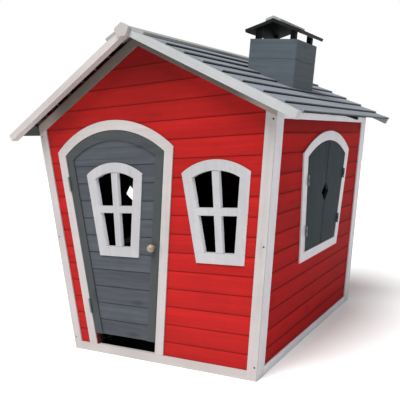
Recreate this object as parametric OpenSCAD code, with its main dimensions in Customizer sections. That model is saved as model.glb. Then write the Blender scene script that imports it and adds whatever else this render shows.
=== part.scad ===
// Wooden children's playhouse with outward-leaning side walls, a tapered
// arched door, arched windows, shuttered side windows, a lapped-board gable
// roof and a leaning dummy chimney. Units: millimetres. +Z is up, the front
// faces -Y, and the origin is on the ground under the centre of the roof.

/* [Walls] */
// Half width of the house at ground level, over the corner boards
base_half = 531; // [480:1:580]
// Outward lean of the side walls and taper of every opening, degrees
lean = 7.3; // [6.5:0.1:8]
// Depth of the house from the front boards to the back boards
depth = 1390; // [1300:5:1460]
// Thickness of the white trim boards
trim_t = 7; // [6:1:8]
// Thickness of the horizontal wall boards
clad_t = 14; // [12:1:16]
// Thickness of the inner battens
batten_t = 28; // [20:1:32]
// Face width of a wall board
board_pitch = 87.5; // [86:0.5:89]
// Height of the first joint between wall boards above the ground
first_joint = 26; // [22:1:30]
// Visible gap at a joint between two boards
joint_gap = 2; // [1:0.5:3]
// Width of the trim around openings and on the front corners
trim_w = 48; // [44:1:52]
// Height of the bottom rails
rail_h = 42; // [38:1:46]
// Width of a corner board on a side wall
side_post_w = 76; // [70:1:82]

/* [Roof] */
// Roof pitch, degrees
pitch = 28.8; // [27:0.1:30]
// Height of the line where the two roof deck planes meet
deck_apex = 1580; // [1560:1:1600]
// Length of the roof slope down to the lowest board edge
slope_len = 920; // [910:1:930]
// Exposed width of a roof board
roof_exposure = 103; // [102:0.5:104]
// Thickness of a roof board
roof_board_t = 10; // [8:1:12]
// Front overhang to the face of the bargeboards
over_front = 95; // [80:1:110]
// Rear overhang to the face of the bargeboards
over_rear = 40; // [30:1:60]
// Width of a bargeboard
barge_w = 35; // [30:1:42]
// Thickness of a bargeboard
barge_t = 42; // [30:1:46]

/* [Door] */
// Position of the door's centre line across the front
door_x = -195.5; // [-200:0.5:-190]
// Half width of the doorway at ground level
door_half = 179; // [175:0.5:183]
// Height of the doorway's arch centre
door_arch_z = 663; // [650:1:675]
// Radius of the doorway's arch
door_arch_r = 477; // [470:1:484]
// Clearance between the door and its frame
door_gap = 3; // [3:0.5:4]
// Height of the door's lower edge above the ground
door_bottom = 102; // [95:1:110]
// Width of the door's stiles and head
stile_w = 46; // [42:1:50]
// Height of the lowest joint between door boards
door_joint = 180; // [165:1:185]
// Radius of the door knob
knob_r = 19; // [16:1:22]

/* [Windows] */
// Position of the front window's centre line
win_x = 376; // [370:1:380]
// Height of the front window's lower trim edge
win_z = 512; // [505:1:520]
// Height of the door window's lower trim edge
dwin_z = 516; // [510:1:522]
// Half width of both windows over the trim at that lower edge
win_half = 120.5; // [118:0.5:124]
// Height from the lower trim edge to the top of the arched trim
win_h = 466; // [460:1:470]
// Outer radius of the arched trim
win_r = 292; // [285:1:300]
// Width of the glazing-style cross bars
bar_w = 34; // [30:1:36]

/* [Side windows] */
// Distance of the side window's centre line from the front boards
sw_y = 720; // [712:1:728]
// Height of the side window's lower trim edge
sw_z = 441; // [435:1:447]
// Half width of the side window over the trim at that lower edge
sw_half = 292; // [288:1:298]
// Height from the lower trim edge to the top of the arched trim
sw_h = 644; // [635:1:650]
// Outer radius of the arched trim
sw_r = 688; // [670:1:700]
// Width of the slanted trim boards of the side window
sw_trim_w = 57; // [54:1:62]
// Half width of the diamond peephole
diamond_w = 56; // [45:1:60]
// Half height of the diamond peephole
diamond_h = 52; // [45:1:60]
// Distance the wall boards stand in behind a shutter as a stop
stop_w = 10; // [8:1:12]

/* [Chimney] */
// Lean of the chimney, degrees
chim_lean = 8.5; // [8:0.1:9.5]
// Width of the chimney across the roof
chim_w = 252; // [245:1:265]
// Depth of the chimney along the ridge
chim_d = 286; // [280:1:300]
// Thickness of the chimney boards
chim_t = 16; // [14:1:18]
// Height of the chimney's taller side
chim_h = 237.5; // [232:0.5:245]
// Distance of the chimney's front from the front boards
chim_y = 511.5; // [505:0.5:520]

/* [Hidden] */
$fn = 96;
s = tan(lean);
cl = cos(lean);
tp = tan(pitch);
cp = cos(pitch);
sp = sin(pitch);
wall_t = trim_t + clad_t;
in_t = wall_t + batten_t;
yf = -(depth + over_rear - over_front)/2;   // face of the front trim
yr = yf + depth;                            // face of the back trim
function hw(z) = base_half + s*z;           // outer half width at height z
function deck(x) = deck_apex - tp*abs(x);   // roof deck height at x
rake_z = deck_apex - 64;                    // lower edge of the rake trim at x=0
board_n = 18;
eps = 0.01;

// ---------- helpers ----------
// a shape drawn in X and Z, extruded from ya to yb
module xz(ya, yb) { translate([0, yb, 0]) rotate([90, 0, 0]) linear_extrude(yb - ya) children(); }
// a shape drawn in Y and Z, extruded from xa to xb
module yz(xa, xb) { translate([xa, 0, 0]) rotate([90, 0, 90]) linear_extrude(xb - xa) children(); }
// a leaning sheet on the right wall between depths o1 and o2 under its face
module slab(o1, o2, z1, z2, ya, yb)
  xz(ya, yb) polygon([[hw(z1) - o2/cl, z1], [hw(z1) - o1/cl, z1], [hw(z2) - o1/cl, z2], [hw(z2) - o2/cl, z2]]);
// tapered outline with an arched top: centre c, bottom height zb, half width hb there
module arch2(c, zb, hb, zc, r)
  intersection() {
    polygon([[c - hb, zb], [c + hb, zb], [c + hb + s*(zc + r - zb), zc + r + eps], [c - hb - s*(zc + r - zb), zc + r + eps]]);
    union() { translate([c, zc]) circle(r); translate([c - r, zb]) square([2*r, zc - zb]); }
  }
// doorway outline, grown outwards by g
module doorway2(g, zb) arch2(door_x, zb, door_half + g/cl + s*zb, door_arch_z, door_arch_r + g);
// outline of a small window at height z0, shrunk inwards by g
module window2(c, z0, g) arch2(c, z0 + g, win_half - g/cl + s*g, z0 + win_h - win_r, win_r - g);
// outline of the side window, shrunk inwards by g and its slanted sides by gs
module side_window2(g, gs) arch2(yf + sw_y, sw_z + g, sw_half - gs/cl + s*g, sw_z + sw_h - sw_r, sw_r - g);
// region under the roof deck, lowered by d
module gable2(d) polygon([[-900, 0], [900, 0], [900, deck(900) - d], [0, deck_apex - d], [-900, deck(900) - d]]);

// ---------- front and back walls ----------
// outline that the boards are cut to, inside the corner boards and under the roof
module wall_outline2() intersection() {
  i = (trim_t + 0.3)/cl;
  polygon([[-hw(0) + i, 0], [hw(0) - i, 0], [hw(1600) - i, 1600], [-hw(1600) + i, 1600]]);
  gable2(2);
}
// section of board k: d is the depth below its face; a shallow groove stays open at each joint
groove = 4;
liner = 7;      // thickness of the lining inside the small windows
function board_section(k) = let (a = first_joint + board_pitch*(k - 1), b = a + board_pitch)
  [[0, a + joint_gap/2], [groove, a + joint_gap/2], [groove, a + 0.1], [clad_t, a + 0.1],
   [clad_t, b - 0.1], [groove, b - 0.1], [groove, b - joint_gap/2], [0, b - joint_gap/2]];
module gable_board(k, face, dir) intersection() {
  yz(-900, 900) polygon([for (q = board_section(k)) [face + dir*q[0], q[1]]]);
  xz(min(face, face + dir*clad_t) - 1, max(face, face + dir*clad_t) + 1) wall_outline2();
}
module front_wall_boards() color([0.80, 0.20, 0.19])
  for (k = [1 : board_n - 1]) difference() {
    gable_board(k, yf + trim_t, 1);
    xz(yf, yf + wall_t + 5) { doorway2(0, 0); window2(win_x, win_z, trim_w - liner - 0.3); }
  }
module back_wall_boards() color([0.80, 0.20, 0.19])
  for (k = [1 : board_n - 1]) gable_board(k, yr - trim_t, -1);

module corner_board2(sgn, w) {
  zt = (deck_apex - 3 - tp*base_half)/(1 + tp*s);
  zt2 = (deck_apex - 3 - tp*(base_half - w/cl))/(1 + tp*s);
  polygon([[sgn*(hw(0) - w/cl), 0], [sgn*hw(0), 0], [sgn*hw(zt), zt], [sgn*(hw(zt2) - w/cl), zt2]]);
}
screw_z = [62, 600, 1133];
screw_in = 13;      // screws sit this far from the corner
module corner_board(g, ya, yb, face, dir) difference() {
  xz(ya, yb) difference() { corner_board2(g, trim_w); rake_cut2(); }
  for (z = screw_z) translate([g*(hw(z) - screw_in), face, z]) rotate([dir*90, 0, 0]) translate([0, 0, -4]) cylinder(r = 4.5, h = 8, $fn = 32);
}
module front_corner_board_left() color([0.80, 0.80, 0.78]) corner_board(-1, yf, yf + trim_t, yf, 1);
module front_corner_board_right() color([0.80, 0.80, 0.78]) corner_board(1, yf, yf + trim_t, yf, 1);
module back_corner_boards() color([0.80, 0.80, 0.78]) {
  corner_board(-1, yr - trim_t, yr, yr, -1);
  corner_board(1, yr - trim_t, yr, yr, -1);
}
// area taken by the rake trims
module rake_cut2() polygon([[-900, rake_z - tp*900], [0, rake_z], [900, rake_z - tp*900], [900, 1700], [-900, 1700]]);
module rake2(sgn) intersection() {
  polygon([[sgn*0.2, rake_z], [sgn*0.2, deck_apex - 11], [sgn*900, deck(900) - 11], [sgn*900, rake_z - tp*900 + 0.2]]);
  polygon([[0, 0], [sgn*hw(0), 0], [sgn*hw(1700), 1700], [0, 1700]]);
}
module front_rake_trims() color([0.80, 0.80, 0.78]) {
  xz(yf, yf + trim_t) rake2(-1);
  xz(yf, yf + trim_t) rake2(1);
}
module back_rake_trims() color([0.80, 0.80, 0.78]) {
  xz(yr - trim_t, yr) rake2(-1);
  xz(yr - trim_t, yr) rake2(1);
}
module rail2() polygon([[-hw(0) + trim_w/cl, 0], [hw(0) - trim_w/cl, 0], [hw(rail_h) - trim_w/cl, rail_h], [-hw(rail_h) + trim_w/cl, rail_h]]);
module front_bottom_rail() color([0.78, 0.78, 0.76]) xz(yf, yf + trim_t) rail2();
// sill board standing behind the rail across the doorway
module door_sill() color([0.78, 0.78, 0.78]) xz(yf + trim_t, yf + wall_t)
  polygon([[door_x - door_half + 1, 0], [door_x + door_half - 1, 0], [door_x + door_half - 1, rail_h], [door_x - door_half + 1, rail_h]]);
module back_bottom_rail() color([0.78, 0.78, 0.76]) xz(yr - trim_t, yr) rail2();

// ---------- inner battens of the front and back walls ----------
bat_w = 40;
module corner_batten2(sgn) {
  z1 = 8; z2 = 1130;
  polygon([[sgn*(hw(z1) - (wall_t + bat_w + 1)/cl), z1], [sgn*(hw(z1) - (wall_t + 1)/cl), z1],
           [sgn*(hw(z2) - (wall_t + 1)/cl), z2], [sgn*(hw(z2) - (wall_t + bat_w + 1)/cl), z2]]);
}
module rake_batten2(sgn) intersection() {
  polygon([[sgn*0.5, deck_apex - 60], [sgn*0.5, deck_apex - 4], [sgn*900, deck(900) - 4], [sgn*900, deck(900) - 60]]);
  polygon([[0, 1131], [sgn*(hw(1131) - (in_t + 2)/cl), 1131], [sgn*(hw(1600) - (in_t + 2)/cl), 1600], [0, 1600]]);
}
// slanted batten beside the doorway, standing past the door's edge as a stop
module stop_batten2(sgn) {
  z1 = rail_h + 1; z2 = 1090;
  a = door_half - 12; b = door_half + 28;
  polygon([[door_x + sgn*(a + s*z1), z1], [door_x + sgn*(b + s*z1), z1], [door_x + sgn*(b + s*z2), z2], [door_x + sgn*(a + s*z2), z2]]);
}
module front_wall_battens() color([0.86, 0.74, 0.56]) {
  for (g = [-1, 1]) {
    xz(yf + wall_t + 1, yf + in_t) corner_batten2(g);
    xz(yf + wall_t + 1, yf + in_t) rake_batten2(g);
    xz(yf + wall_t + 1, yf + in_t) stop_batten2(g);
  }
}
module back_wall_battens() color([0.86, 0.74, 0.56]) {
  for (g = [-1, 1]) {
    xz(yr - in_t, yr - wall_t) corner_batten2(g);
    xz(yr - in_t, yr - wall_t) rake_batten2(g);
    xz(yr - in_t, yr - wall_t) polygon([[g*220, 8], [g*260, 8], [g*260, 1130], [g*220, 1130]]);
  }
}

// ---------- side walls (drawn on the right, mirrored to the left) ----------
top_z = 1165;   // top of the side wall boards
// the left wall is the same panel as the right one, turned half round
module left_side() translate([0, yf + yr, 0]) rotate([0, 0, 180]) children();
module side_section(k) polygon([for (q = side_section_points(k)) [hw(q[1]) - (trim_t + q[0])/cl, q[1]]]);
function side_section_points(k) = let (a = first_joint + board_pitch*(k - 1), b = a + board_pitch)
  [[0, a + joint_gap/2], [groove, a + joint_gap/2], [groove, a + 0.1], [clad_t, a + 0.1],
   [clad_t, b - 0.1], [groove, b - 0.1], [groove, b - joint_gap/2], [0, b - joint_gap/2]];
module side_boards() {
  for (k = [1 : 13]) difference() {
    xz(yf + wall_t + 0.3, yr - wall_t - 0.3) side_section(k);
    yz(400, 800) side_window2(48 + stop_w, sw_trim_w + stop_w);
    intersection() {
      slab(-5, stop_d, 300, 1400, yf + 100, yr - 100);
      yz(400, 800) side_window2(48, sw_trim_w);
    }
  }
}
stop_d = 15.6;  // depth of the rebate that the shutters close against
module right_wall_boards() color([0.60, 0.13, 0.13]) side_boards();
module left_wall_boards() color([0.60, 0.13, 0.13]) left_side() side_boards();
module side_corner_boards() {
  slab(0, trim_t, 0, top_z, yf + trim_t, yf + trim_t + side_post_w);
  slab(0, trim_t, 0, top_z, yr - trim_t - side_post_w, yr - trim_t);
}
module right_wall_corner_boards() color([0.72, 0.70, 0.71]) side_corner_boards();
module left_wall_corner_boards() color([0.72, 0.70, 0.71]) left_side() side_corner_boards();
module side_rail(z1, z2) slab(0, trim_t, z1, z2, yf + trim_t + side_post_w, yr - trim_t - side_post_w);
module side_bottom_rails() color([0.72, 0.70, 0.71]) { side_rail(0, rail_h); left_side() side_rail(0, rail_h); }
module side_top_rails() color([0.72, 0.70, 0.71]) { side_rail(1135, top_z); left_side() side_rail(1135, top_z); }
module side_battens() {
  y1 = yf + in_t + 1; y2 = yr - in_t - 1;
  slab(wall_t + 0.3, in_t, 8, 1118, y1, y1 + bat_w);
  slab(wall_t + 0.3, in_t, 8, 1118, y2 - bat_w, y2);
  slab(wall_t + 0.3, in_t, 8, 48, y1 + bat_w + 0.3, y2 - bat_w - 0.3);
  slab(wall_t + 0.3, in_t, 1118.3, 1158, y1, y2);
  // slanted battens beside the window
  intersection() {
    slab(wall_t + 0.3, in_t, 48.3, 1118, y1 + bat_w + 0.3, y2 - bat_w - 0.3);
    yz(400, 800) for (g = [-1, 1]) {
      a = sw_half - 48; b = a + 40;
      polygon([for (q = [[a, 40], [b, 40], [b, 1130], [a, 1130]]) [yf + sw_y + g*(q[0] + s*(q[1] - sw_z)), q[1]]]);
    }
  }
}
// white sill inside the foot of each side window
module side_sill() slab(wall_t + 0.3, in_t - 8, 478, 511, yf + sw_y - 400, yf + sw_y + 400);
module side_sill_cut() intersection() {
  side_sill();
  yz(400, 800) { a = sw_half - 48.4; polygon([for (q = [[-1, 470], [1, 470], [1, 520], [-1, 520]]) [yf + sw_y + q[0]*(a + s*(q[1] - sw_z)), q[1]]]); }
}
module side_wall_battens() color([0.86, 0.74, 0.56]) { side_battens(); left_side() side_battens(); }

// ---------- side windows ----------
// each window trim is two slanted boards, a sill board and an arched head
kink_z = sw_z + sw_h - sw_r + sqrt(sw_r*sw_r - pow(sw_half + s*(975 - sw_z), 2));
module side_trim_piece(i) intersection() {
  slab(0, trim_t, 300, 1130, yf + 200, yr - 200);
  yz(400, 800) intersection() {
    difference() { side_window2(0, 0); side_window2(48, sw_trim_w); }
    if (i == 0) translate([yf, sw_z]) square([depth, 48 - 0.2]);
    else if (i == 1) translate([yf, sw_z + 48]) square([sw_y, kink_z - 44 - sw_z - 48]);
    else if (i == 2) translate([yf + sw_y, sw_z + 48]) square([700, kink_z - 44 - sw_z - 48]);
    else translate([yf, kink_z - 44 + 0.2]) square([depth, 300]);
  }
}
module right_window_trim() color([0.74, 0.73, 0.72]) { for (i = [0 : 3]) side_trim_piece(i); side_sill_cut(); }
module left_window_trim() color([0.74, 0.73, 0.72]) left_side() { for (i = [0 : 3]) side_trim_piece(i); side_sill_cut(); }

// ---------- shutters ----------
shut_gap = 3.4;           // clearance to the window frame
shut_t = 14;            // shutter board thickness
shut_o = 1;             // set-back of the shutter face behind the trim face
diamond_z = 771;
hinge_r = 4.5;          // hinge barrel radius
shut_axis_o = -5.5;     // hinge axis stands this far outside the trim face
shut_c = yf + sw_y;
// the window opening's slanted edge: y distance from the centre line at height z
function sw_edge(z) = sw_half - sw_trim_w/cl + s*(z - sw_z);
module shutter2(g) intersection() {
  side_window2(48 + shut_gap, sw_trim_w + shut_gap);
  translate([shut_c + (g < 0 ? -700 : shut_gap), 0]) square([700 - (g < 0 ? shut_gap : 0), 1300]);
}
module shutter(g) {
  // two upright boards with the half diamond cut into the inner one
  split = 150;
  for (i = [0, 1]) intersection() {
    slab(shut_o, shut_o + shut_t, 300, 1130, yf + 200, yr - 200);
    yz(400, 800) difference() {
      intersection() {
        shutter2(g);
        translate([shut_c + (g < 0 ? (i == 0 ? -split + 0.4 : -700) : (i == 0 ? 0 : split + 0.4)), 0])
          square([i == 0 ? split - 0.4 : 700 - split - 0.4, 1300]);
      }
      polygon([[shut_c, diamond_z - diamond_h], [shut_c + diamond_w, diamond_z], [shut_c, diamond_z + diamond_h], [shut_c - diamond_w, diamond_z]]);
    }
  }
  // two ledges behind the boards
  for (z = [555, 880]) intersection() {
    slab(shut_o + shut_t + 0.2, shut_o + shut_t + 14, z, z + 42, yf + 200, yr - 200);
    yz(400, 800) polygon([for (q = [[14, z], [sw_edge(z) - 36, z], [sw_edge(z + 42) - 36, z + 42], [14, z + 42]]) [shut_c + g*q[0], q[1]]]);
  }
}
// shutter-side hinge leaves with the middle knuckle
module shutter_leaves(g) for (z = shutter_hinge_z) shutter_hinge(g, z) moving_leaf(52, 16, 13.5);
module moving_leaf(hl, kl, d) difference() {
  union() {
    translate([0.25, 0.5, -hl/2]) cube([1.1, d, hl]);
    translate([0.25, -5.5, -kl/2]) cube([1.1, 7, kl]);
    translate([0, -5.5, -kl/2]) cylinder(r = hinge_r, h = kl);
  }
  translate([0, -5.5, -hl]) cylinder(r = 2.05, h = 2*hl);
}
shutter_hinge_z = [597, 850];
// hinge frame: origin on the window edge at the trim face, local x towards the
// shutter's free edge, local y into the wall, local z along the hinge axis
module shutter_hinge(g, z) {
  e = sw_edge(z) - shut_gap/2/cl;
  translate([hw(z), shut_c + g*e, z]) rotate([0, lean, 0]) rotate([-g*atan(sin(lean)), 0, 0])
    multmatrix(g < 0 ? [[0, -1, 0, 0], [1, 0, 0, 0], [0, 0, 1, 0], [0, 0, 0, 1]]
                     : [[0, -1, 0, 0], [-1, 0, 0, 0], [0, 0, 1, 0], [0, 0, 0, 1]]) children();
}
module frame_hinge_parts(hl, kl, d) {
  difference() {
    union() {
      translate([-1.35, 0.5, -hl/2]) cube([1.1, d, hl]);
      for (q = [-1, 1]) translate([0, 0, q > 0 ? kl/2 + 0.3 : -hl/2]) {
        translate([-1.35, -5.5, 0]) cube([1.1, 7, hl/2 - kl/2 - 0.3]);
        translate([0, -5.5, 0]) cylinder(r = hinge_r, h = hl/2 - kl/2 - 0.3);
      }
    }
    translate([0, -5.5, -hl]) cylinder(r = 2, h = 2*hl);
  }
  translate([0, -5.5, -hl/2 - 1]) cylinder(r = 2, h = hl + 2);
}
module right_shutter_front() color([0.24, 0.26, 0.28]) shutter(-1);
module right_shutter_rear() color([0.24, 0.26, 0.28]) shutter(1);
module left_shutter_front() color([0.24, 0.26, 0.28]) left_side() shutter(1);
module left_shutter_rear() color([0.24, 0.26, 0.28]) left_side() shutter(-1);
module right_shutter_front_hinges() color([0.70, 0.70, 0.70]) shutter_leaves(-1);
module right_shutter_rear_hinges() color([0.70, 0.70, 0.70]) shutter_leaves(1);
module left_shutter_front_hinges() color([0.70, 0.70, 0.70]) left_side() shutter_leaves(1);
module left_shutter_rear_hinges() color([0.70, 0.70, 0.70]) left_side() shutter_leaves(-1);
module side_frame_leaves() for (g = [-1, 1]) for (z = shutter_hinge_z) shutter_hinge(g, z) frame_hinge_parts(52, 16, 13.5);
module shutter_hinge_frame_leaves() color([0.70, 0.70, 0.70]) { side_frame_leaves(); left_side() side_frame_leaves(); }

// ---------- door frame ----------
frame_kink = door_arch_z + sqrt(pow(door_arch_r + trim_w, 2) - pow(door_half + trim_w/cl + s*1046, 2));
module door_frame2() difference() { doorway2(trim_w, rail_h + 0.5); doorway2(0, 0); }
module door_frame_left() color([0.80, 0.80, 0.78])
  xz(yf, yf + trim_t) intersection() { door_frame2(); translate([door_x - 700, 0]) square([700, frame_kink - 24]); }
module door_frame_right() color([0.80, 0.80, 0.78])
  xz(yf, yf + trim_t) intersection() { door_frame2(); translate([door_x, 0]) square([700, frame_kink - 24]); }
module door_frame_arch() color([0.80, 0.80, 0.80])
  xz(yf, yf + trim_t) intersection() { door_frame2(); translate([door_x - 700, frame_kink - 24 + 0.2]) square([1400, 300]); }

// ---------- door ----------
door_y = yf + 1;                 // face of the door's stiles
dg = -door_gap;
module leaf2(g) intersection() { doorway2(dg - g, door_bottom); translate([door_x - 600, door_bottom]) square([1200, 1200]); }
module door_boards() color([0.34, 0.36, 0.37])
  for (k = [0 : 10]) for (l = [[6.2, 10, joint_gap/2], [10, 20, 0.1]]) {
    z1 = k == 0 ? door_bottom : door_joint + board_pitch*(k - 1) + l[2];
    z2 = door_joint + board_pitch*k - (k == 10 ? -200 : l[2]);
    xz(door_y + l[0], door_y + l[1]) difference() {
      intersection() { leaf2(0); translate([door_x - 600, z1]) square([1200, z2 - z1]); }
      window2(door_x, dwin_z, trim_w - liner - 0.3);
    }
  }
stile_top = 1000;
module door_rim2() difference() { leaf2(0); leaf2(stile_w); translate([door_x - 600, 0]) square([1200, door_bottom]); }
module stile2(sgn) intersection() {
  leaf2(0);
  polygon([for (q = [[door_half + dg/cl - stile_w/cl, 0], [door_half + 60, 0], [door_half + 60, stile_top], [door_half + dg/cl - stile_w/cl, stile_top]]) [door_x + sgn*(q[0] + s*q[1]), q[1]]]);
}
module door_stile_left() color([0.33, 0.35, 0.36]) xz(door_y, door_y + 6) stile2(-1);
module door_stile_right() color([0.33, 0.35, 0.36]) xz(door_y, door_y + 6) stile2(1);
module door_arch_rail() color([0.33, 0.35, 0.36]) xz(door_y, door_y + 6) difference() {
  intersection() { leaf2(0); translate([door_x - 600, stile_top + 0.2]) square([1200, 400]); }
  doorway2(dg - stile_w, 0);
}
module door_ledges() color([0.33, 0.35, 0.36])
  for (z = [150, 440, 1000]) xz(door_y + 20.2, door_y + 36)
    polygon([for (q = [[-1, z], [1, z], [1, z + 60], [-1, z + 60]]) [door_x + q[0]*(door_half - 40 + s*q[1] - (z > 900 ? 34 : 0)), q[1]]]);

// small window trim: slanted boards, sill and arched head as separate pieces
module small_trim(c, z0, ya, yb, yc) {
  zk = z0 + 370;
  for (i = [0 : 3]) intersection() {
    union() {
      xz(ya, yb) difference() { window2(c, z0, 0); window2(c, z0, trim_w); }
      xz(ya, yc) difference() { window2(c, z0, trim_w - liner); window2(c, z0, trim_w); }
    }
    xz(ya - 1, yc + 1)
      if (i == 0) translate([c - 400, z0 - 1]) square([800, trim_w - 0.2 + 1]);
      else if (i == 1) translate([c - 400, z0 + trim_w]) square([400, zk - z0 - trim_w]);
      else if (i == 2) translate([c, z0 + trim_w]) square([400, zk - z0 - trim_w]);
      else translate([c - 400, zk + 0.2]) square([800, 300]);
  }
}
// cross bars: one upright and two short bars let in between
module cross_bars(c, z0, ya, yb) {
  zb = z0 + 217;
  xz(ya, yb) intersection() { window2(c, z0, trim_w + 0.3); translate([c - bar_w/2, z0]) square([bar_w, 600]); }
  for (g = [-1, 1]) xz(ya, yb) intersection() {
    window2(c, z0, trim_w + 0.3);
    translate([g > 0 ? c + bar_w/2 + 0.1 : c - 300, zb]) square([300 - (g > 0 ? 0 : bar_w/2 + 0.1), bar_w]);
  }
}
module door_window_trim() color([0.80, 0.80, 0.78]) small_trim(door_x, dwin_z, door_y - 1, door_y + 6, door_y + 27);
module door_window_bars() color([0.80, 0.80, 0.78]) cross_bars(door_x, dwin_z, door_y + 2, door_y + 27);
module front_window_trim() color([0.80, 0.80, 0.78]) small_trim(win_x, win_z, yf, yf + trim_t, yf + 28);
module front_window_bars() color([0.80, 0.80, 0.78]) cross_bars(win_x, win_z, yf + 3, yf + 28);

knob_x = door_x + 214;
knob_z = 570;
module door_knob() color([0.72, 0.60, 0.46]) translate([knob_x, door_y, knob_z]) rotate([90, 0, 0])
  rotate_extrude() intersection() {
    union() { square([8, 16]); translate([0, 20]) scale([1, 0.9]) circle(knob_r); square([12, 2.5]); }
    square([60, 60]);
  }

// hinge positions on the door's left edge
door_hinge_z = [245, 880];
hinge_l = 74;
module door_hinge(z) {
  e = door_half - door_gap/2/cl + s*z;
  translate([door_x - e, yf, z]) rotate([0, -lean, 0]) children();
}
module door_hinge_leaves() color([0.72, 0.72, 0.72]) for (z = door_hinge_z) door_hinge(z) moving_leaf(hinge_l, 24, 17);
module door_hinge_frame_leaves() color([0.72, 0.72, 0.72]) for (z = door_hinge_z) door_hinge(z) frame_hinge_parts(hinge_l, 24, 17);

// ---------- roof ----------
ry1 = yf - over_front + barge_t + 0.2;     // front ends of the roof boards
rear_barge_t = 22;
ry2 = yr + over_rear - rear_barge_t - 0.2;      // rear ends
rw = roof_exposure + 17;                   // full width of a roof board
rm = (roof_board_t + 0.2)/roof_exposure;   // slope of a board against the deck
// shape drawn in slope coordinates (u down the right slope, v above the deck)
module slope(ya, yb) translate([0, yb, deck_apex]) rotate([90, 0, 0]) linear_extrude(yb - ya) rotate(-pitch) children();
lap_u = 936;        // lower edge of the lowest full board down the slope
module roof_boards(lift = 0) for (k = [0 : 7]) {
  u = lap_u - roof_exposure*k;
  e = min(u, slope_len) + lift;   // the lowest board is trimmed at the eave
  slope(ry1, ry2) polygon([[u - rw, 0], [e, rm*(e - u + rw)], [e, rm*(e - u + rw) + roof_board_t + lift], [u - rw, roof_board_t + lift]]);
}
module roof_boards_right() color([0.38, 0.40, 0.44]) roof_boards();
module roof_boards_left() color([0.38, 0.40, 0.44]) mirror([1, 0, 0]) roof_boards();
raf_w = 34;
// the outer pairs end inside the walls; the middle pair runs on, tapered, to carry the eave
raf_end = 690;
module rafter_pair(ya, yb, long = false) for (g = [0, 1]) mirror([g, 0, 0])
  slope(ya, yb) polygon(long ? [[1, -0.2], [slope_len - 14, -0.2], [slope_len - 14, -12], [raf_end, -raf_w], [1 + raf_w*tp, -raf_w]]
                             : [[1, -0.2], [raf_end, -0.2], [raf_end, -raf_w], [1 + raf_w*tp, -raf_w]]);
mid_rafter_y = (yf + yr)/2 + 92;
module roof_rafters() color([0.86, 0.74, 0.56]) {
  rafter_pair(yf + in_t + 2, yf + in_t + 30);
  rafter_pair(mid_rafter_y - 14, mid_rafter_y + 14, true);
  rafter_pair(yr - in_t - 30, yr - in_t - 2);
}
cap_t = 14;
cap_u = lap_u - roof_exposure*8;
cap_v = rm*(rw - cap_u);
module ridge_cap() slope(yf - over_front - 0.2, yr + over_rear + 0.2)
  polygon([[0.2 - cap_v*tp, cap_v], [cap_u, rm*rw], [cap_u, rm*rw + cap_t], [0.2 - (cap_v + cap_t)*tp, cap_v + cap_t]]);
module ridge_caps() color([0.72, 0.73, 0.73]) { ridge_cap(); mirror([1, 0, 0]) ridge_cap(); }
barge_top = 12;     // bargeboard top edge above the deck
// the top edge is planed down where the ridge cap lies over it
barge_under = (barge_top + 0.3 - cap_v)*cap_u/(rm*rw - cap_v);
module bargeboard(ya, yb) slope(ya, yb)
  polygon([[0.2 - (cap_v - 0.3)*tp, cap_v - 0.3], [barge_under, barge_top], [slope_len - 5, barge_top],
           [slope_len - 5, barge_top - barge_w], [0.2 - (barge_top - barge_w)*tp, barge_top - barge_w]]);
module front_bargeboard_right() color([0.82, 0.80, 0.78]) barge_front();
module front_bargeboard_left() color([0.82, 0.80, 0.78]) mirror([1, 0, 0]) barge_front();
module barge_front() bargeboard(yf - over_front, yf - over_front + barge_t);
module rear_bargeboards() color([0.82, 0.80, 0.78]) {
  bargeboard(yr + over_rear - rear_barge_t, yr + over_rear);
  mirror([1, 0, 0]) bargeboard(yr + over_rear - rear_barge_t, yr + over_rear);
}
plate_t = 20;
module plate2() polygon([[0, deck_apex + 24], [34, deck_apex + 5], [40, deck_apex - 2], [37, deck_apex - 12],
  [25, deck_apex - 34], [19, deck_apex - 38], [-19, deck_apex - 38], [-25, deck_apex - 34], [-37, deck_apex - 12], [-40, deck_apex - 2], [-34, deck_apex + 5]]);
module ridge_end_plates() color([0.80, 0.80, 0.79]) {
  xz(yf - over_front - plate_t - 0.4, yf - over_front - 0.4) plate2();
  xz(yr + over_rear + 0.4, yr + over_rear + plate_t + 0.4) plate2();
}

// ---------- chimney ----------
chim_x = 547.5;      // lower right edge of the chimney on the roof
chim_z = deck_apex + 17/cp - tp*chim_x;
// chimney frame: origin at the lower left of its front, x across, y back, z up
module chimney_frame() translate([chim_x, yf + chim_y, chim_z]) rotate([0, chim_lean, 0]) translate([-chim_w, 0, 0]) children();
// drawn in the chimney's own x and z, cut off on the roof
module chim_profile(x1, x2, z1, z2) intersection() {
  translate([x1, z1]) square([x2 - x1, z2 - z1]);
  a = pitch - chim_lean;
  // roof surface runs from the lower right corner up to the left
  polygon([[chim_w + 20, -20*tan(a) - 14], [-20, (chim_w + 20)*tan(a) - 14], [-20, 600], [chim_w + 20, 600]]);
}
chim_pitch = 95;
module chim_wall(x1, x2, y1, y2) difference() {
  for (k = [0 : 1]) {
    z2 = chim_h - chim_pitch*k - (k > 0 ? 0.5 : 0); z1 = k == 0 ? chim_h - chim_pitch + 0.5 : -60;
    chimney_frame() translate([0, y2, 0]) rotate([90, 0, 0]) linear_extrude(y2 - y1) chim_profile(x1, x2, z1, z2);
  }
  roof_boards(0.3);
}
module chimney_front_boards() color([0.33, 0.36, 0.39]) chim_wall(0, chim_w, 0, chim_t);
module chimney_back_boards() color([0.33, 0.36, 0.39]) chim_wall(0, chim_w, chim_d - chim_t, chim_d);
module chimney_side_boards() color([0.30, 0.33, 0.34]) {
  chim_wall(chim_w - chim_t, chim_w, chim_t + 0.2, chim_d - chim_t - 0.2);
  chim_wall(0, chim_t, chim_t + 0.2, chim_d - chim_t - 0.2);
}
cap_a = 19.5;       // slope of the chimney cap in the chimney's frame
cap_over = 24;
cap_rise = 42;      // eave height above the chimney top
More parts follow.
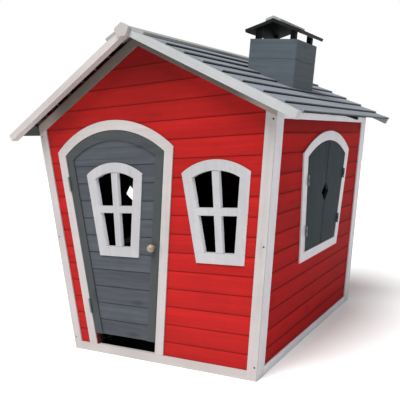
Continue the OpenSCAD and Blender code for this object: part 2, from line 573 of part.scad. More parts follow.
cap_bt = 16;
post_s = 26;
module chimney_cap_posts() color([0.10, 0.11, 0.12])
  for (x = [chim_t + 2, chim_w - chim_t - 2 - post_s]) for (y = [chim_t + 2, chim_d - chim_t - 2 - post_s])
    chimney_frame() translate([0, y + post_s, 0]) rotate([90, 0, 0]) linear_extrude(post_s)
      intersection() {
        translate([x, chim_h - 60]) square([post_s, 200]);
        polygon([[-20, 0], [chim_w + 20, 0], [chim_w + 20, cap_under(chim_w + 20)], [chim_w/2, cap_under(chim_w/2)], [-20, cap_under(-20)]]);
      }
cap_half = chim_w/2 + cap_over;
function cap_under(x) = chim_h + cap_rise - cap_bt/cos(cap_a) + (cap_half - abs(x - chim_w/2))*tan(cap_a) - 0.2;
module cap_board2(g) polygon([for (q = [[0.2, cap_half*tan(cap_a)], [cap_half, 0], [cap_half - 4, -cap_bt/cos(cap_a) + 2], [0.2, cap_half*tan(cap_a) - cap_bt/cos(cap_a)]])
  [chim_w/2 + g*q[0], chim_h + cap_rise + q[1]]]);
module chimney_cap_boards() color([0.16, 0.17, 0.16]) for (g = [-1, 1])
  chimney_frame() translate([0, chim_d + cap_over, 0]) rotate([90, 0, 0]) linear_extrude(chim_d + 2*cap_over) cap_board2(g);
module chimney_ridge_cap() color([0.72, 0.73, 0.72])
  chimney_frame() translate([0, chim_d + cap_over, 0]) rotate([90, 0, 0]) linear_extrude(chim_d + 2*cap_over)
    polygon([for (q = [[0, 0.3], [40, 0.2 - 40*tan(cap_a)], [40, 12 - 40*tan(cap_a)], [0, 13], [-40, 12 - 40*tan(cap_a)], [-40, 0.2 - 40*tan(cap_a)]])
      [chim_w/2 + q[0], chim_h + cap_rise + cap_half*tan(cap_a) + q[1]]]);

// ---------- fasteners ----------
// screws that tie the front and back walls to the side walls
module corner_screws() color([0.20, 0.20, 0.20]) for (g = [-1, 1]) for (z = screw_z) {
  translate([g*(hw(z) - screw_in), yf + 4, z]) rotate([90, 0, 0]) cylinder(r = 4, h = 2.6, $fn = 32);
  translate([g*(hw(z) - screw_in), yr - 1.4, z]) rotate([90, 0, 0]) cylinder(r = 4, h = 2.6, $fn = 32);
}

front_wall_boards();
back_wall_boards();
left_wall_boards();
right_wall_boards();
front_corner_board_left();
front_corner_board_right();
back_corner_boards();
left_wall_corner_boards();
right_wall_corner_boards();
front_bottom_rail();
door_sill();
back_bottom_rail();
side_bottom_rails();
side_top_rails();
front_rake_trims();
back_rake_trims();
front_wall_battens();
back_wall_battens();
side_wall_battens();
door_frame_left();
door_frame_right();
door_frame_arch();
door_boards();
door_stile_left();
door_stile_right();
door_arch_rail();
door_ledges();
door_window_trim();
door_window_bars();
door_knob();
door_hinge_leaves();
door_hinge_frame_leaves();
front_window_trim();
front_window_bars();
left_window_trim();
right_window_trim();
right_shutter_front();
right_shutter_rear();
left_shutter_front();
left_shutter_rear();
right_shutter_front_hinges();
right_shutter_rear_hinges();
left_shutter_front_hinges();
left_shutter_rear_hinges();
shutter_hinge_frame_leaves();
roof_boards_left();
roof_boards_right();
roof_rafters();
ridge_caps();
front_bargeboard_left();
front_bargeboard_right();
rear_bargeboards();
ridge_end_plates();
chimney_front_boards();
chimney_back_boards();
chimney_side_boards();
chimney_cap_posts();
chimney_cap_boards();
chimney_ridge_cap();
corner_screws();
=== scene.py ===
import bpy
import math
from mathutils import Matrix, Vector

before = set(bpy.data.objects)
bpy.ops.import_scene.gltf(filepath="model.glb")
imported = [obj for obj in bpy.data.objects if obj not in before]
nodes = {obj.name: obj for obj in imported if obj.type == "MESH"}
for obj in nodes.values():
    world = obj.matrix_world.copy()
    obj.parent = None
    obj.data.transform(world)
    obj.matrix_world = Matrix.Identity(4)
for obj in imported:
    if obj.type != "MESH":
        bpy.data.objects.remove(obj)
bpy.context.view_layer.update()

# ------------------------------------------------------------------ constants of the model, in metres
LEAN = math.radians(7.3)          # walls lean outwards
PITCH = math.radians(28.8)        # roof slope
APEX = 1.580                      # top of the roof deck
WALL_J, WALL_P = 0.026, 0.0875    # wall board joints: first one and spacing
DOOR_J = 0.180                    # first door board joint
LAP, EXPO = 0.936, 0.103          # roof laps, measured down the slope
YF, YR = -0.6675, 0.7225          # front and back planes of the house


# ------------------------------------------------------------------ shader graph helpers
class Graph:
    def __init__(self, name):
        self.m = bpy.data.materials.new(name)
        self.m.use_nodes = True
        self.t = self.m.node_tree
        self.t.nodes.clear()
        self.out = self.t.nodes.new("ShaderNodeOutputMaterial")
        self.b = self.t.nodes.new("ShaderNodeBsdfPrincipled")
        self.t.links.new(self.b.outputs[0], self.out.inputs[0])
        self.tc = self.t.nodes.new("ShaderNodeTexCoord")

    def put(self, socket, value):
        if isinstance(value, bpy.types.NodeSocket):
            self.t.links.new(value, socket)
        elif value is not None:
            if socket.type == "RGBA" and len(value) == 3:
                value = (*value, 1.0)
            socket.default_value = value

    def math(self, op, a, b=None, c=None, clamp=False):
        n = self.t.nodes.new("ShaderNodeMath")
        n.operation = op
        n.use_clamp = clamp
        for s, v in zip(n.inputs, (a, b, c)):
            if v is not None:
                self.put(s, v)
        return n.outputs[0]

    def vmath(self, op, a, b=None):
        n = self.t.nodes.new("ShaderNodeVectorMath")
        n.operation = op
        self.put(n.inputs[0], a)
        if b is not None:
            self.put(n.inputs[1], b)
        return n.outputs["Value"] if op in ("DOT_PRODUCT", "LENGTH", "DISTANCE") else n.outputs[0]

    def turned(self, vec, axis, angle):
        n = self.t.nodes.new("ShaderNodeVectorRotate")
        n.rotation_type = "AXIS_ANGLE"
        self.put(n.inputs["Vector"], vec)
        n.inputs["Center"].default_value = (0, 0, 0)
        n.inputs["Axis"].default_value = axis
        n.inputs["Angle"].default_value = angle
        return n.outputs[0]

    def noise(self, vec, scale, detail=3.0, rough=0.5, distort=0.0, w=None):
        n = self.t.nodes.new("ShaderNodeTexNoise")
        if w is not None:
            n.noise_dimensions = "4D"
            self.put(n.inputs["W"], w)
        self.put(n.inputs["Vector"], vec)
        n.inputs["Scale"].default_value = scale
        n.inputs["Detail"].default_value = detail
        n.inputs["Roughness"].default_value = rough
        n.inputs["Distortion"].default_value = distort
        return n.outputs["Fac"]

    def white(self, w):
        n = self.t.nodes.new("ShaderNodeTexWhiteNoise")
        n.noise_dimensions = "1D"
        self.put(n.inputs["W"], w)
        return n.outputs["Value"]

    def voronoi(self, vec, scale, randomness=1.0):
        n = self.t.nodes.new("ShaderNodeTexVoronoi")
        self.put(n.inputs["Vector"], vec)
        n.inputs["Scale"].default_value = scale
        n.inputs["Randomness"].default_value = randomness
        return n.outputs["Distance"]

    def step(self, value, a, b, lo=0.0, hi=1.0):
        n = self.t.nodes.new("ShaderNodeMapRange")
        n.interpolation_type = "SMOOTHSTEP"
        self.put(n.inputs["Value"], value)
        n.inputs["From Min"].default_value = a
        n.inputs["From Max"].default_value = b
        n.inputs["To Min"].default_value = lo
        n.inputs["To Max"].default_value = hi
        return n.outputs["Result"]

    def mix(self, fac, a, b, blend="MIX"):
        n = self.t.nodes.new("ShaderNodeMix")
        n.data_type = "RGBA"
        n.blend_type = blend
        n.clamp_factor = True
        self.put(n.inputs[0], fac)
        self.put(n.inputs[6], a)
        self.put(n.inputs[7], b)
        return n.outputs[2]

    def bump(self, height, strength, distance):
        n = self.t.nodes.new("ShaderNodeBump")
        n.inputs["Strength"].default_value = strength
        n.inputs["Distance"].default_value = distance
        self.put(n.inputs["Height"], height)
        return n.outputs[0]

    def split(self, vec):
        n = self.t.nodes.new("ShaderNodeSeparateXYZ")
        self.put(n.inputs[0], vec)
        return n.outputs

    def join(self, x, y, z):
        n = self.t.nodes.new("ShaderNodeCombineXYZ")
        for s, v in zip(n.inputs, (x, y, z)):
            self.put(s, v)
        return n.outputs[0]


def lin(r, g, b):
    """sRGB 0-255 to linear."""
    return tuple((c / 255 / 12.92) if c / 255 <= 0.04045 else ((c / 255 + 0.055) / 1.055) ** 2.4 for c in (r, g, b))


def shade(c, k):
    return tuple(min(1.0, v * k) for v in c)


# ------------------------------------------------------------------ timber under paint, stain or oil
def timber(name, base, turn=None, grain="X", joints=None, tone=0.10, streak=0.16, knots=0.35, rough=0.48,
           joint_dirt_and_shade=0.45, wear=0.25, under=None, inside=None, seed=0.0, warm=None, foot=0.0, painted_light_by_facing=None, spec=0.14, painted_board_shading=0.0, painted_shadow=None, soft=0.0052,
           bump=0.35, ends=None):
    """base: paint colour. turn: (axis, angle) that lays the boards' length on X, Y or Z, named by grain.
    joints: ((x, y, z) direction, first, spacing, offset) for the board number across the boards.
    under: wood colour that shows on worn arrises. inside: (side test vector, threshold, colour) for unpainted inner
    faces; a near-black colour there is painted shade for the dark inside.
    painted_light_by_facing: (direction, colour) painted on faces turned toward the direction: painted shade on lower
    board edges and undersides, painted light on reveals. foot: grime near the ground. ends: colour of cut ends."""
    g = Graph(name)
    p = g.tc.outputs["Object"]
    n = g.tc.outputs["Normal"]
    q = g.turned(p, *turn) if turn else p
    x, y, z = g.split(q)
    along, c1, c2 = {"X": (x, y, z), "Y": (y, x, z), "Z": (z, x, y)}[grain]
    # board number and place within the board
    if joints:
        d = g.vmath("DOT_PRODUCT", p, joints[0])
        u = g.math("DIVIDE", g.math("SUBTRACT", d, joints[1]), joints[2])
        num = g.math("FLOOR", u)
        frac = g.math("FRACT", u)
        rnd = g.white(g.math("ADD", num, 3.17 + seed))
        rnd2 = g.white(g.math("ADD", num, 41.7 + seed))
        edge = g.math("MULTIPLY", g.math("MINIMUM", frac, g.math("SUBTRACT", 1.0, frac)), joints[2])
    else:
        rnd = rnd2 = g.math("ADD", 0.5, 0.0)
        edge = None
        rnd = g.white(g.math("ADD", 3.17 + seed, 0.0))
        rnd2 = g.white(g.math("ADD", 9.41 + seed, 0.0))
    shift = g.math("MULTIPLY", rnd2, 7.0)
    a = g.math("ADD", along, shift)
    w1 = g.math("ADD", c1, g.math("MULTIPLY", rnd, 3.0))
    w2 = g.math("ADD", c2, g.math("MULTIPLY", rnd2, 2.0))
    # slow waver of the grain along the board
    waver = g.noise(g.join(g.math("MULTIPLY", a, 3.0), g.math("MULTIPLY", w1, 6.0), g.math("MULTIPLY", w2, 6.0)), 1.0, 2.0, 0.5)
    bend = g.math("MULTIPLY", g.math("SUBTRACT", waver, 0.5), 0.030)
    w1b = g.math("ADD", w1, bend)
    w2b = g.math("ADD", w2, bend)
    # knots: sparse, oval
    kv = g.join(g.math("MULTIPLY", a, 2.6), g.math("MULTIPLY", w1, 9.0), g.math("MULTIPLY", w2, 9.0))
    kd = g.voronoi(kv, 1.0, 1.0)
    knot = g.step(kd, 0.045, 0.16, 1.0, 0.0)
    halo = g.step(kd, 0.10, 0.38, 1.0, 0.0)
    # rings of the wood and fine fibre
    ring = g.noise(g.join(g.math("MULTIPLY", a, 1.3), g.math("MULTIPLY", w1b, 62.0), g.math("MULTIPLY", w2b, 62.0)), 1.0, 3.0, 0.55, 0.35)
    ring = g.math("ADD", ring, g.math("MULTIPLY", halo, 0.10))
    fibre = g.noise(g.join(g.math("MULTIPLY", a, 9.0), g.math("MULTIPLY", w1b, 420.0), g.math("MULTIPLY", w2b, 420.0)), 1.0, 4.0, 0.6)
    cloud = g.noise(q, 3.4, 4.0, 0.55, 0.2)
    blot = g.noise(q, 17.0, 4.0, 0.6, 0.3)
    # paint colour
    light, dark = shade(base, 1.0 + streak), shade(base, 1.0 - streak * 1.25)
    if warm:
        dark = tuple(min(1.0, v * w) for v, w in zip(dark, warm))
    f = g.math("ADD", g.step(ring, 0.30, 0.72), g.math("MULTIPLY", g.math("SUBTRACT", fibre, 0.5), 0.55))
    col = g.mix(f, dark, light)
    lvl = g.math("ADD", 1.0 - tone, g.math("MULTIPLY", rnd, 2 * tone))
    lvl = g.math("MULTIPLY", lvl, g.step(cloud, 0.25, 0.75, 0.93, 1.06))
    lvl = g.math("MULTIPLY", lvl, g.step(blot, 0.2, 0.8, 0.965, 1.03))
    lvl = g.math("MULTIPLY", lvl, g.math("SUBTRACT", 1.0, g.math("MULTIPLY", knot, knots)))
    lvl = g.math("MULTIPLY", lvl, g.math("SUBTRACT", 1.0, g.math("MULTIPLY", halo, knots * 0.28)))
    for centre, mask, r0, r1, least in painted_shadow or ():      # darker toward the roof: stands in for the shadow there
        far = g.vmath("LENGTH", g.vmath("MULTIPLY", g.vmath("SUBTRACT", p, centre), mask))
        lvl = g.math("MULTIPLY", lvl, g.step(far, r0, r1, least, 1.0))
    if painted_board_shading:      # painted shading across each board: lighter toward its upper edge, darker toward its lower edge, for boards a little fuller at their upper edge
        lvl = g.math("MULTIPLY", lvl, g.math("ADD", 1.0 - painted_board_shading, g.math("MULTIPLY", frac, 2 * painted_board_shading)))
    # darker band along each joint: grime in the joints and painted shade of the grooves
    if edge is not None and joint_dirt_and_shade:
        near = g.step(edge, 0.0011, soft, 1.0, 0.0)
        near = g.math("MULTIPLY", near, g.step(blot, 0.25, 0.65, 0.6, 1.0))
        lvl = g.math("MULTIPLY", lvl, g.math("SUBTRACT", 1.0, g.math("MULTIPLY", near, joint_dirt_and_shade)))
    if foot:
        pz = g.split(p)[2]
        low = g.math("MULTIPLY", g.step(pz, 0.0, 0.16, 1.0, 0.0), g.step(blot, 0.3, 0.7, 0.35, 1.0))
        col = g.mix(g.math("MULTIPLY", low, foot), col, (0.20, 0.165, 0.125))
    grey = g.t.nodes.new("ShaderNodeCombineXYZ")
    for s in grey.inputs:
        g.put(s, lvl)
    col = g.mix(1.0, col, grey.outputs[0], "MULTIPLY")
    # rubbed arrises
    if wear:
        bev = g.t.nodes.new("ShaderNodeBevel")
        bev.samples = 4
        bev.inputs["Radius"].default_value = 0.0032
        geo = g.t.nodes.new("ShaderNodeNewGeometry")
        flat = g.vmath("DOT_PRODUCT", bev.outputs[0], geo.outputs["Normal"])
        arris = g.step(flat, 0.80, 0.985, 1.0, 0.0)
        patch = g.step(g.noise(q, 26.0, 5.0, 0.65, 0.4), 0.50, 0.66, 0.0, 1.0)
        rub = g.math("MULTIPLY", g.math("MULTIPLY", arris, patch), wear)
        col = g.mix(rub, col, under or shade(base, 1.35))
        fade = g.math("MULTIPLY", arris, 0.18)
        col = g.mix(fade, col, shade(base, 1.22))
    # faces turned toward a given direction take another colour: painted shade on lower lap edges and undersides,
    # painted light on window reveals
    for d, tint, *rest in painted_light_by_facing or ():
        if rest:      # (second colour, direction, from, to) up the face
            tint = g.mix(g.step(g.vmath("DOT_PRODUCT", p, rest[1]), rest[2], rest[3]), tint, rest[0])
        col = g.mix(g.step(g.vmath("DOT_PRODUCT", n, d), 0.55, 0.80), col, tint)
    if ends:
        e = g.math("ABSOLUTE", g.vmath("DOT_PRODUCT", n, ends[0]))
        rings = g.noise(q, 190.0, 3.0, 0.6)
        col = g.mix(g.math("MULTIPLY", g.step(e, 0.80, 0.95), g.step(rings, 0.3, 0.7, 0.75, 1.0)), col, ends[1])
    if inside:
        deep = g.step(g.vmath("DOT_PRODUCT", p, inside[0]), inside[1] - 0.0008, inside[1] + 0.0008)
        inner = g.mix(f, shade(inside[2], 0.80), shade(inside[2], 1.15))
        col = g.mix(deep, col, inner)
    g.put(g.b.inputs["Base Color"], col)
    r = g.math("ADD", rough - 0.05, g.math("MULTIPLY", fibre, 0.13))
    r = g.math("ADD", r, g.math("MULTIPLY", cloud, 0.06))
    g.put(g.b.inputs["Roughness"], r)
    g.b.inputs["Specular IOR Level"].default_value = spec
    h = g.math("ADD", g.math("MULTIPLY", fibre, 0.55), g.math("MULTIPLY", ring, 0.45))
    h = g.math("ADD", h, g.math("MULTIPLY", blot, 0.30))
    h = g.math("SUBTRACT", h, g.math("MULTIPLY", knot, 0.35))
    g.put(g.b.inputs["Normal"], g.bump(h, bump, 0.0012))
    return g.m


def metal(name, base, rough, metallic, spot, seed=0.0, brushed=(1.0, 1.0, 1.0)):
    g = Graph(name)
    p = g.tc.outputs["Object"]
    s = g.vmath("MULTIPLY", p, brushed)
    fine = g.noise(s, 900.0, 4.0, 0.6)
    blot = g.noise(p, 120.0, 5.0, 0.6, 0.5)
    col = g.mix(g.step(blot, 0.35, 0.70), base, spot)
    col = g.mix(g.step(fine, 0.3, 0.75, 0.0, 0.35), col, shade(base, 1.3))
    g.put(g.b.inputs["Base Color"], col)
    g.put(g.b.inputs["Roughness"], g.math("ADD", rough - 0.08, g.math("MULTIPLY", fine, 0.18)))
    g.b.inputs["Metallic"].default_value = metallic
    g.put(g.b.inputs["Normal"], g.bump(fine, 0.2, 0.0004))
    return g.m


def ground(name, c1, c2):
    g = Graph(name)
    p = g.tc.outputs["Object"]
    a = g.noise(p, 1.1, 3.0, 0.5)
    b = g.noise(p, 60.0, 4.0, 0.6)
    col = g.mix(g.step(a, 0.3, 0.7), c1, c2)
    g.put(g.b.inputs["Base Color"], col)
    g.put(g.b.inputs["Roughness"], g.math("ADD", 0.78, g.math("MULTIPLY", b, 0.12)))
    g.b.inputs["Specular IOR Level"].default_value = 0.15
    return g.m


# ------------------------------------------------------------------ finishes
RED = (0.352, 0.0098, 0.0092)
# side walls: a darker copy of the front red, painted shade
RED_SIDE_PAINTED_SHADE = (0.308, 0.0052, 0.0058)
GREY = (0.060, 0.067, 0.078)
FRAME_GREY = (0.051, 0.056, 0.059)
WHITE = (0.420, 0.392, 0.386)
# side trims: a lighter copy of the front white, painted light
WHITE_SIDE_PAINTED_LIGHT = (0.575, 0.558, 0.590)
# near-black inside: painted shade for the unlit inside of the house
INNER_PAINTED_SHADE = (0.0110, 0.0092, 0.0078)
DOOR_BACK = (0.060, 0.054, 0.047)
SLATE = (0.208, 0.228, 0.262)
CHIM = (0.084, 0.103, 0.119)
SHUT = (0.025, 0.034, 0.040)
BLACK = (0.009, 0.010, 0.010)
CAP = (0.013, 0.014, 0.013)
RIDGE = (0.300, 0.305, 0.308)

Xa, Ya, Za = (1, 0, 0), (0, 1, 0), (0, 0, 1)
wall_j = (Za, WALL_J, WALL_P)
cx, sx = math.cos(LEAN), math.sin(LEAN)
cp, sp = math.cos(PITCH), math.sin(PITCH)

mats = {}
# front wall red darkens toward the gable apex: painted shadow under the roof
mats["front_red"] = timber("red_paint_front", RED, grain="X", joints=wall_j, painted_board_shading=0.09, tone=0.075, streak=0.07, knots=0.22, rough=0.46,
                           joint_dirt_and_shade=0.26, wear=0, inside=((0, 1, 0), YF + 0.0205, INNER_PAINTED_SHADE), seed=1,
                           spec=0.09, soft=0.008, painted_shadow=(((0, YF, 1.50), (1, 0, 1), 0.08, 0.44, 0.52),))
mats["back_red"] = timber("red_paint_back", RED, grain="X", joints=wall_j, painted_board_shading=0.09, tone=0.075, streak=0.07, knots=0.22, rough=0.46,
                          joint_dirt_and_shade=0.30, wear=0, inside=((0, -1, 0), -(YR - 0.0205), INNER_PAINTED_SHADE), seed=23)
# inner face of a side wall: distance under the leaning face
for tag, sg in (("right", 1), ("left", -1)):
    face = 0.531 * cx - 0.0208
    # side walls: painted shadow under the eave, and a wide soft joint band that is partly painted groove shade
    mats["side_red_" + tag] = timber("red_paint_" + tag, RED_SIDE_PAINTED_SHADE, grain="Y", joints=wall_j, painted_board_shading=0.10, tone=0.07, streak=0.08, knots=0.25,
                                     rough=0.62, joint_dirt_and_shade=0.34, wear=0, seed=47 + sg, spec=0.035,
                                     soft=0.013, painted_shadow=(((0, 0, 1.175), (0, 0, 1), 0.02, 0.12, 0.50),),
                                     inside=((-sg * cx, 0, sx), -face, INNER_PAINTED_SHADE))


def white(name, turn, grain, seed, base=WHITE, **k):
    return timber(name, base, turn=turn, grain=grain, tone=0.0, streak=0.035, knots=0.10, rough=0.44, wear=0.45,
                  under=(0.34, 0.27, 0.18), seed=seed, bump=0.22, **k)


mats["white_v"] = white("white_paint_upright", None, "Z", 2, foot=0.10, base=(0.392, 0.382, 0.390))
# window trims lighter on faces turned to +X: painted light on the reveals
mats["white_win"] = white("white_paint_windows", None, "Z", 28, base=(0.388, 0.382, 0.394), painted_light_by_facing=(((1, 0, 0), (0.88, 0.90, 0.94)),))
mats["white_arch"] = white("white_paint_arch", None, "X", 29)
# front rake trims: brown-grey base and darker middle are painted shade under the overhang
mats["rake_front"] = white("white_paint_painted_shade", None, "X", 30, base=(0.320, 0.270, 0.235), painted_shadow=(((0, 0, 0), (1, 0, 0), 0.48, 0.62, 0.42),))
mats["white_l"] = white("white_paint_lean_left", (Ya, LEAN), "Z", 3, foot=0.10)
mats["white_r"] = white("white_paint_lean_right", (Ya, -LEAN), "Z", 4, foot=0.10)
mats["white_x"] = white("white_paint_level", None, "X", 5, foot=0.16)
# side level rails: lighter and bluer than the other whites, painted light
mats["white_y"] = white("white_paint_side_level", None, "Y", 6, base=(0.655, 0.655, 0.710), foot=0.08)
mats["white_side"] = white("white_paint_side_upright", None, "Z", 7, base=WHITE_SIDE_PAINTED_LIGHT, foot=0.10)
mats["white_rake"] = white("white_paint_rake", None, "X", 8)
# the two front bargeboards share one paint; their different bases are painted light and shade
mats["barge_r"] = white("white_paint_barge_right", (Ya, -PITCH), "X", 9, base=(0.385, 0.393, 0.400))
mats["barge_l"] = white("white_paint_barge_left", (Ya, PITCH), "X", 10, base=(0.452, 0.414, 0.404))
mats["grey_board"] = timber("grey_paint_door_boards", GREY, grain="X", joints=(Za, DOOR_J, WALL_P), tone=0.11, streak=0.14,
                            knots=0.30, rough=0.50, joint_dirt_and_shade=0.28, wear=0, seed=12, inside=((0, 1, 0), YF + 0.0205, DOOR_BACK))
mats["grey_l"] = timber("grey_paint_lean_left", FRAME_GREY, turn=(Ya, LEAN), grain="Z", tone=0, streak=0.08, knots=0.25,
                        rough=0.48, wear=0.35, under=(0.20, 0.19, 0.175), seed=13)
mats["grey_r"] = timber("grey_paint_lean_right", FRAME_GREY, turn=(Ya, -LEAN), grain="Z", tone=0, streak=0.08, knots=0.25,
                        rough=0.48, wear=0.35, under=(0.20, 0.19, 0.175), seed=14)
mats["grey_x"] = timber("grey_paint_arch", FRAME_GREY, grain="X", tone=0, streak=0.08, knots=0.20, rough=0.48, wear=0.35,
                        under=(0.20, 0.19, 0.175), seed=15)
mats["shutter"] = timber("dark_grey_paint_shutters", SHUT, grain="Z", joints=(Ya, 0.02, 0.145), tone=0.07, streak=0.10, knots=0.22,
                         rough=0.58, joint_dirt_and_shade=0.0, wear=0.30, under=(0.10, 0.10, 0.095), seed=16, spec=0.05)
# battens near-black: painted shade for the unlit inside
mats["inner_z"] = timber("bare_wood_upright_painted_shade", shade(INNER_PAINTED_SHADE, 1.5), grain="Z", tone=0.05, streak=0.15, knots=0.4, rough=0.62,
                         wear=0, seed=17)
mats["inner_x"] = timber("bare_wood_level", shade(DOOR_BACK, 1.15), grain="X", tone=0.05, streak=0.15, knots=0.4, rough=0.62,
                         wear=0, seed=18)
# rafters near-black: painted shade under the roof
mats["rafter"] = timber("bare_wood_rafters_painted_shade", shade(INNER_PAINTED_SHADE, 1.5), turn=(Ya, -PITCH), grain="X", tone=0.05, streak=0.15, knots=0.4,
                        rough=0.62, wear=0, seed=19)
for tag, sg in (("right", 1), ("left", -1)):
    # roof: near-black lap edges and undersides are painted shade, the lap edges lightening toward their upper part
    mats["roof_" + tag] = timber("roof_paint_" + tag, SLATE, grain="Y",
                                 joints=((sg * cp, 0, -sp), -APEX * sp + LAP, EXPO), tone=0.08, streak=0.10, knots=0.20,
                                 rough=0.55, joint_dirt_and_shade=0.0, wear=0.25, under=(0.30, 0.31, 0.32), seed=30 + sg,
                                 painted_light_by_facing=(((sg * cp, 0, -sp), (0.006, 0.007, 0.008), shade(SLATE, 0.62), (sg * sp, 0, cp), 1.3998, 1.4030),
                                           ((-sg * sp, 0, -cp), (0.006, 0.005, 0.004))))
mats["ridge"] = timber("ridge_paint", RIDGE, grain="Y", tone=0, streak=0.05, knots=0.12, rough=0.46, wear=0.4,
                       under=(0.24, 0.24, 0.235), seed=20)
mats["plate"] = white("white_paint_plate", None, "X", 21)
mats["chim_x"] = timber("chimney_paint_front", CHIM, turn=(Ya, -math.radians(8.5)), grain="X",
                        joints=((math.sin(math.radians(8.5)), 0, math.cos(math.radians(8.5))), 0.0, 0.095), tone=0.04, streak=0.09,
                        knots=0.22, rough=0.52, joint_dirt_and_shade=0, wear=0.3, under=(0.20, 0.21, 0.215), seed=22)
# chimney sides: darker copy of the chimney paint, painted shade
mats["chim_y"] = timber("chimney_paint_side", shade(CHIM, 0.80), turn=(Ya, -math.radians(8.5)), grain="Y",
                        joints=((math.sin(math.radians(8.5)), 0, math.cos(math.radians(8.5))), 0.0, 0.095), tone=0.04, streak=0.09,
                        knots=0.22, rough=0.52, joint_dirt_and_shade=0, wear=0.3, under=(0.20, 0.21, 0.215), seed=24)
mats["black"] = timber("black_paint_posts", BLACK, grain="Z", tone=0, streak=0.15, knots=0.2, rough=0.5, wear=0.3,
                       under=(0.06, 0.055, 0.05), seed=25)
# cap underside near-black: painted shade
mats["cap"] = timber("black_paint_cap", CAP, grain="Y", tone=0, streak=0.12, knots=0.2, rough=0.5, wear=0.5,
                     under=(0.10, 0.095, 0.085), seed=26, spec=0.10, painted_light_by_facing=(((0, 0, -1), (0.0035, 0.0035, 0.0035)),))
mats["knob"] = timber("knob_wood", (0.30, 0.232, 0.165), turn=(Xa, 0.0), grain="Y", tone=0, streak=0.22, knots=0.0, rough=0.36,
                      wear=0, seed=27, bump=0.15, spec=0.5)
mats["hinge_frame"] = metal("zinc_hinge_frame", (0.150, 0.155, 0.160), 0.50, 0.0, (0.110, 0.112, 0.115))
mats["hinge_grey"] = metal("zinc_hinge_leaf", shade(SHUT, 2.2), 0.50, 0.0, shade(SHUT, 1.6))
mats["zinc"] = metal("hinge_steel", (0.20, 0.205, 0.21), 0.50, 0.6, (0.14, 0.14, 0.145), brushed=(1, 1, 0.08))
mats["screw"] = metal("dark_steel", (0.012, 0.012, 0.012), 0.5, 0.3, (0.030, 0.022, 0.017))

FINISH = {
    "front_wall_boards": "front_red", "back_wall_boards": "back_red",
    "left_wall_boards": "side_red_left", "right_wall_boards": "side_red_right",
    "front_corner_board_left": "white_l", "front_corner_board_right": "white_r", "back_corner_boards": "white_v",
    "left_wall_corner_boards": "white_side", "right_wall_corner_boards": "white_side",
    "front_bottom_rail": "white_x", "door_sill": "white_x", "back_bottom_rail": "white_x",
    "side_bottom_rails": "white_y", "side_top_rails": "white_y", "front_rake_trims": "rake_front", "back_rake_trims": "white_rake",
    "front_wall_battens": "inner_z", "back_wall_battens": "inner_z", "side_wall_battens": "inner_z",
    "door_frame_left": "white_l", "door_frame_right": "white_r", "door_frame_arch": "white_arch",
    "door_boards": "grey_board", "door_stile_left": "grey_l", "door_stile_right": "grey_r", "door_arch_rail": "grey_x",
    "door_ledges": "inner_x", "door_window_trim": "white_win", "door_window_bars": "white_win", "door_knob": "knob",
    "door_hinge_leaves": "zinc", "door_hinge_frame_leaves": "zinc",
    "front_window_trim": "white_win", "front_window_bars": "white_win",
    "left_window_trim": "white_side", "right_window_trim": "white_side",
    "right_shutter_front": "shutter", "right_shutter_rear": "shutter",
    "left_shutter_front": "shutter", "left_shutter_rear": "shutter",
    "right_shutter_front_hinges": "hinge_grey", "right_shutter_rear_hinges": "hinge_grey",
    "left_shutter_front_hinges": "hinge_grey", "left_shutter_rear_hinges": "hinge_grey", "shutter_hinge_frame_leaves": "hinge_frame",
    "roof_boards_left": "roof_left", "roof_boards_right": "roof_right", "roof_rafters": "rafter", "ridge_caps": "ridge",
    "front_bargeboard_left": "barge_l", "front_bargeboard_right": "barge_r", "rear_bargeboards": "barge_r",
    "ridge_end_plates": "plate",
    "chimney_front_boards": "chim_x", "chimney_back_boards": "chim_x", "chimney_side_boards": "chim_y",
    "chimney_cap_posts": "black", "chimney_cap_boards": "cap", "chimney_ridge_cap": "ridge", "corner_screws": "screw",
}

# eased arrises: width in metres for each node, none on the finest parts
EASE = {n: 0.0010 for n in FINISH}
for n in ("front_wall_boards", "back_wall_boards", "left_wall_boards", "right_wall_boards"):
    EASE[n] = 0.0
for n in ("door_knob", "corner_screws", "door_hinge_leaves", "door_hinge_frame_leaves", "right_shutter_front_hinges",
          "right_shutter_rear_hinges", "left_shutter_front_hinges", "left_shutter_rear_hinges", "shutter_hinge_frame_leaves"):
    EASE[n] = 0.0
for n in ("front_bargeboard_left", "front_bargeboard_right", "rear_bargeboards", "ridge_end_plates", "ridge_caps",
          "roof_boards_left", "roof_boards_right", "chimney_cap_boards"):
    EASE[n] = 0.0018


def objects_of(entry):
    return list(entry) if isinstance(entry, (list, tuple)) else [entry]


for name, entry in nodes.items():
    for o in objects_of(entry):
        m = mats[FINISH[name]]
        if not o.material_slots:
            o.data.materials.append(m)
        for s in o.material_slots:
            s.link = "OBJECT"
            s.material = m
        if EASE[name]:
            w = o.modifiers.new("weld", "WELD")
            w.merge_threshold = 0.00001
            v = o.modifiers.new("ease", "BEVEL")
            v.width = EASE[name]
            v.segments = 2
            v.limit_method = "ANGLE"
            v.angle_limit = math.radians(32)
            v.use_clamp_overlap = True
            v.harden_normals = True

# ------------------------------------------------------------------ floor
me = bpy.data.meshes.new("floor")
R = 30.0
me.from_pydata([(-R, -R, -0.0005), (R, -R, -0.0005), (R, R, -0.0005), (-R, R, -0.0005)], [], [(0, 1, 2, 3)])
floor = bpy.data.objects.new("floor", me)
bpy.context.scene.collection.objects.link(floor)
me.materials.append(ground("floor_pale", (0.90, 0.90, 0.90), (0.94, 0.94, 0.935)))
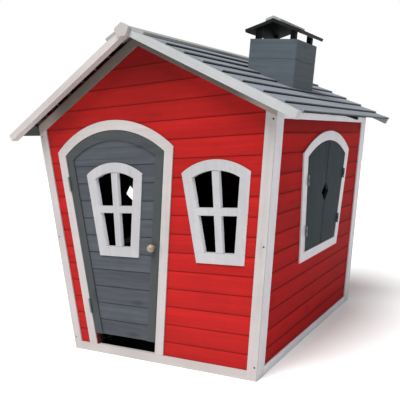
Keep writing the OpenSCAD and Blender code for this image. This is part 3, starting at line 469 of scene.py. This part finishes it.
# near-black sheet inside the walls, painted shade for the dark inside where the house has no floor of its own
me = bpy.data.meshes.new("interior_shade_sheet")
X1, Y1, Y2 = 0.47, YF + 0.030, YR - 0.030
me.from_pydata([(-X1, Y1, 0.0004), (X1, Y1, 0.0004), (X1, Y2, 0.0004), (-X1, Y2, 0.0004)], [], [(0, 1, 2, 3)])
interior_shade_sheet = bpy.data.objects.new("interior_shade_sheet", me)
bpy.context.scene.collection.objects.link(interior_shade_sheet)
me.materials.append(ground("interior_painted_shade", (0.010, 0.009, 0.008), (0.018, 0.016, 0.014)))

# ------------------------------------------------------------------ light
scene = bpy.context.scene
world = bpy.data.worlds.new("studio")
scene.world = world
world.use_nodes = True
bg = world.node_tree.nodes["Background"]
bg.inputs["Color"].default_value = (1.0, 1.0, 1.0, 1.0)
bg.inputs["Strength"].default_value = 0.42
# the backdrop shows plain white, the house is lit at the lower strength above
wt = world.node_tree
back = wt.nodes.new("ShaderNodeBackground")
back.inputs["Color"].default_value = (1.0, 1.0, 1.0, 1.0)
back.inputs["Strength"].default_value = 1.0
path = wt.nodes.new("ShaderNodeLightPath")
both = wt.nodes.new("ShaderNodeMixShader")
wt.links.new(path.outputs["Is Camera Ray"], both.inputs[0])
wt.links.new(bg.outputs[0], both.inputs[1])
wt.links.new(back.outputs[0], both.inputs[2])
wt.links.new(both.outputs[0], wt.nodes["World Output"].inputs["Surface"])


def sun(name, azimuth, elevation, strength, spread):
    """azimuth in degrees from the front, positive to the left of it."""
    d = bpy.data.lights.new(name, "SUN")
    d.energy = strength
    d.angle = math.radians(spread)
    o = bpy.data.objects.new(name, d)
    scene.collection.objects.link(o)
    a, e = math.radians(azimuth), math.radians(elevation)
    to = Vector((math.sin(a) * math.cos(e), math.cos(a) * math.cos(e), -math.sin(e)))
    o.rotation_mode = "QUATERNION"
    o.rotation_quaternion = to.to_track_quat("-Z", "Y")
    return o


sun("key", 2, 60, 4.15, 36)

# ------------------------------------------------------------------ camera
yaw, dip, roll = math.radians(31.29), math.radians(5.28), math.radians(-3.01)
fwd = (-math.sin(yaw) * math.cos(dip), math.cos(yaw) * math.cos(dip), -math.sin(dip))
right = (math.cos(yaw), math.sin(yaw), 0.0)
up = (right[1] * fwd[2] - right[2] * fwd[1], right[2] * fwd[0] - right[0] * fwd[2], right[0] * fwd[1] - right[1] * fwd[0])
r2 = tuple(a * math.cos(roll) + b * math.sin(roll) for a, b in zip(right, up))
u2 = tuple(-a * math.sin(roll) + b * math.cos(roll) for a, b in zip(right, up))
cam_data = bpy.data.cameras.new("camera")
cam_data.sensor_width = 36.0
cam_data.lens = 49.70
cam_data.clip_start, cam_data.clip_end = 0.05, 200.0
cam = bpy.data.objects.new("camera", cam_data)
scene.collection.objects.link(cam)
pos = (1.5687, -2.7650, 1.0264)
cam.matrix_world = Matrix(((r2[0], u2[0], -fwd[0], pos[0]), (r2[1], u2[1], -fwd[1], pos[1]), (r2[2], u2[2], -fwd[2], pos[2]), (0, 0, 0, 1)))
scene.camera = cam

scene.view_settings.view_transform = "Standard"
scene.view_settings.look = "None"
